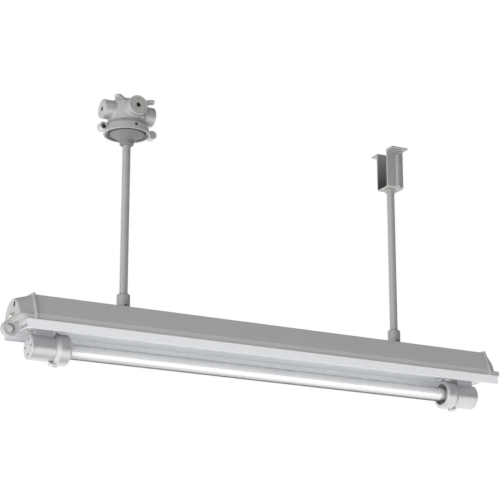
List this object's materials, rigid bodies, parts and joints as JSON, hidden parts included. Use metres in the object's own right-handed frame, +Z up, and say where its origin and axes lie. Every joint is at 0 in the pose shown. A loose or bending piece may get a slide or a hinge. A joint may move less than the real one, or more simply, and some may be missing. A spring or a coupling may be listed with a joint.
{
  "type": "explosion_proof_pendant_light",
  "caption": "Pipe-hung flameproof light for one straight tube lamp, with a round cast junction box, a hanger bracket, a grey housing, cast end boxes and screw-capped lampholders",
  "frame": {"origin": "centre of the junction box's top face, on the axis of the left-hand pipe; the ceiling plane is Z = 0", "axes": "+X runs along the light to the right-hand pipe, +Y to the back, +Z up to the ceiling"},
  "size_m": [1.4125, 0.16, 0.7162],
  "materials": {
    "cast_alloy": "satin silver-grey paint over a fine cast skin, softly worn at the edges",
    "cast_shaded": "matte grey paint over a coarse cast skin",
    "plug_alloy": "fine turned metal, lightly oxidised and painted grey",
    "pipe_steel": "smooth grey paint on drawn steel pipe",
    "strap_steel": "grey paint on rolled steel strap",
    "housing_paint": "flat even grey paint on folded sheet",
    "reflector_enamel": "smooth white baked enamel",
    "ballast_enamel": "light grey stoving enamel",
    "bright_steel": "zinc-plated steel",
    "dark_steel": "blackened steel with a dull sheen",
    "lamp_cap_metal": "drawn aluminium, dull bright",
    "porcelain_plastic": "off-white moulded heat-proof plastic",
    "packing_rubber": "black pressed rubber",
    "clear_glass": "clear thick-walled glass",
    "lamp_white": "white inside-coated glass"
  },
  "bodies": {
    "fixture": {"junction_box": "cast_alloy", "entry_plugs": "plug_alloy", "cover_ring": "cast_alloy", "ring_clamp_screws": "dark_steel", "ring_lock_screw": "dark_steel", "pipe_flange": "cast_shaded", "box_earth_screw": "bright_steel", "box_terminal_block": "porcelain_plastic", "left_pipe": "pipe_steel", "right_pipe": "pipe_steel", "left_coupling": "pipe_steel", "right_coupling": "pipe_steel", "coupling_set_screws": "dark_steel", "coupling_locknuts": "bright_steel", "hanger_bracket": "strap_steel", "pipe_nuts": "dark_steel", "housing": "housing_paint", "ballast_tray": "bright_steel", "ballast": "ballast_enamel", "ballast_screws": "bright_steel", "supply_terminal": "porcelain_plastic", "left_end_box": "cast_alloy", "right_end_box": "cast_alloy", "face_plugs": "dark_steel", "eye_pad_nut": "bright_steel", "reflector": "reflector_enamel", "front_lip": "reflector_enamel", "back_lip": "reflector_enamel", "reflector_screws": "bright_steel", "left_lampholder": "cast_alloy", "right_lampholder": "cast_alloy", "saddle_screws": "bright_steel", "left_collar": "cast_alloy", "right_collar": "cast_alloy", "collar_lock_screws": "bright_steel", "glass_packings": "packing_rubber", "glass_tube": "clear_glass", "lamp_glass": "lamp_white", "lamp_caps": "lamp_cap_metal"},
    "left_carrier": {"left_socket": "porcelain_plastic"},
    "left_screw_cap": {"left_cap": "cast_alloy"},
    "right_carrier": {"right_socket": "porcelain_plastic"},
    "right_screw_cap": {"right_cap": "cast_alloy"}
  },
  "joints": [
    {"name": "left_carrier_slide", "type": "slide", "parent": "fixture", "child": "left_carrier", "axis": [-1, 0, 0], "range_m": [0, 0.0121]},
    {"name": "left_cap_turn", "type": "hinge", "parent": "left_carrier", "child": "left_screw_cap", "pos_m": [-0.248, 0, -0.672], "axis": [-1, 0, 0], "range_deg": [0, 2160]},
    {"name": "right_carrier_slide", "type": "slide", "parent": "fixture", "child": "right_carrier", "axis": [1, 0, 0], "range_m": [0, 0.0121]},
    {"name": "right_cap_turn", "type": "hinge", "parent": "right_carrier", "child": "right_screw_cap", "pos_m": [1.048, 0, -0.672], "axis": [1, 0, 0], "range_deg": [0, 2160]}
  ],
  "couplings": [
    {"joint": "left_carrier_slide", "follows": "left_cap_turn", "m_per_rad": 0.00031831},
    {"joint": "right_carrier_slide", "follows": "right_cap_turn", "m_per_rad": 0.00031831}
  ]
}
